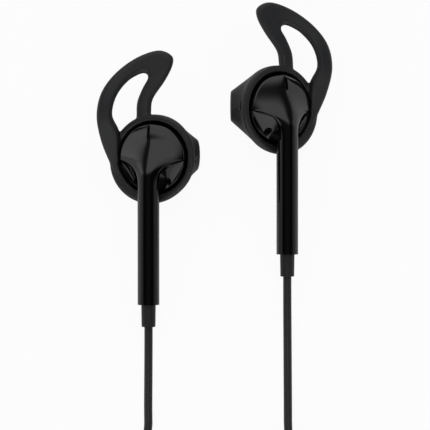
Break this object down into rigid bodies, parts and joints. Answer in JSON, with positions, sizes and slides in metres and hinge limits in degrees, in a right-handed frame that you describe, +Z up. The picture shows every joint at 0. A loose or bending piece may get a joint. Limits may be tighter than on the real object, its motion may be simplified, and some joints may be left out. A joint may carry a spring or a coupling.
{
  "type": "wired earphones",
  "caption": "Wired half-in-ear earphones with glossy stems, removable silicone ear-hook covers, a cord with a sliding cinch, a splitter and a straight stereo plug.",
  "frame": {"origin": "on the surface the earphones lie on, below the middle of the box round the two earpieces", "axes": "+X from the right earpiece to the left one, +Y up the stems towards the ear hooks, +Z up out of the surface, away from the ear side"},
  "size_m": [0.0514, 0.2073, 0.0138],
  "materials": {
    "gloss_shell": "injection-moulded black plastic, high gloss",
    "silicone_cover": "moulded black silicone, soft matt",
    "satin_rubber": "black elastomer, satin",
    "cable_jacket": "extruded dark jacket, satin",
    "nozzle_mesh": "blackened punched steel",
    "vent_cloth": "woven acoustic cloth",
    "driver_plastic": "moulded black, matt",
    "foam": "die-cut closed-cell foam",
    "damper_cloth": "damping paper",
    "steel": "zinc-plated, drawn",
    "magnet": "nickel-plated sintered magnet",
    "copper": "enamelled copper wire winding",
    "film": "formed polyester film",
    "board": "solder-masked glass-epoxy board",
    "gold": "gold plating, polished",
    "tie": "black silicone strap, matt"
  },
  "bodies": {
    "earphones": {"right_back_shell": "gloss_shell", "right_front_shell": "gloss_shell", "right_ear_hook_cover": "silicone_cover", "right_nozzle_grille": "nozzle_mesh", "right_vent_mesh": "vent_cloth", "right_driver_gasket": "foam", "right_driver_basket": "driver_plastic", "right_driver_damper": "damper_cloth", "right_driver_yoke": "steel", "right_driver_magnet": "magnet", "right_driver_top_plate": "steel", "right_terminal_board": "board", "right_lead_pair": "cable_jacket", "right_cable_crimp": "steel", "right_strain_relief": "satin_rubber", "left_back_shell": "gloss_shell", "left_front_shell": "gloss_shell", "left_ear_hook_cover": "silicone_cover", "left_nozzle_grille": "nozzle_mesh", "left_vent_mesh": "vent_cloth", "left_driver_gasket": "foam", "left_driver_basket": "driver_plastic", "left_driver_damper": "damper_cloth", "left_driver_yoke": "steel", "left_driver_magnet": "magnet", "left_driver_top_plate": "steel", "left_terminal_board": "board", "left_lead_pair": "cable_jacket", "left_cable_crimp": "steel", "left_strain_relief": "satin_rubber", "right_branch_cable": "cable_jacket", "left_branch_cable": "cable_jacket", "right_branch_coil": "cable_jacket", "left_branch_coil": "cable_jacket", "right_coil_tie": "tie", "left_coil_tie": "tie", "right_branch_tail": "cable_jacket", "left_branch_tail": "cable_jacket", "splitter": "gloss_shell", "splitter_relief": "satin_rubber", "main_cable": "cable_jacket", "main_coil": "cable_jacket", "main_coil_tie": "tie", "main_tail": "cable_jacket", "plug_relief": "satin_rubber", "plug_body": "gloss_shell", "jack_sleeve": "gold", "jack_sleeve_insulator": "satin_rubber", "jack_ring": "gold", "jack_ring_insulator": "satin_rubber", "jack_tip": "gold"},
    "slider": {"cable_slider": "gloss_shell"},
    "right_diaphragm_assembly": {"right_voice_coil": "copper", "right_diaphragm": "film"},
    "left_diaphragm_assembly": {"left_voice_coil": "copper", "left_diaphragm": "film"}
  },
  "joints": [
    {"name": "slider_travel", "type": "slide", "parent": "earphones", "child": "slider", "axis": [0, 1, 0], "range_m": [0, 0.008]},
    {"name": "right_driver_travel", "type": "slide", "parent": "earphones", "child": "right_diaphragm_assembly", "axis": [-0.309, -0.251, 0.9173], "range_m": [-0.00015, 0.00015], "stiffness_N_per_m": 10},
    {"name": "left_driver_travel", "type": "slide", "parent": "earphones", "child": "left_diaphragm_assembly", "axis": [0.5299, -0.2052, 0.8229], "range_m": [-0.00015, 0.00015], "stiffness_N_per_m": 10}
  ]
}
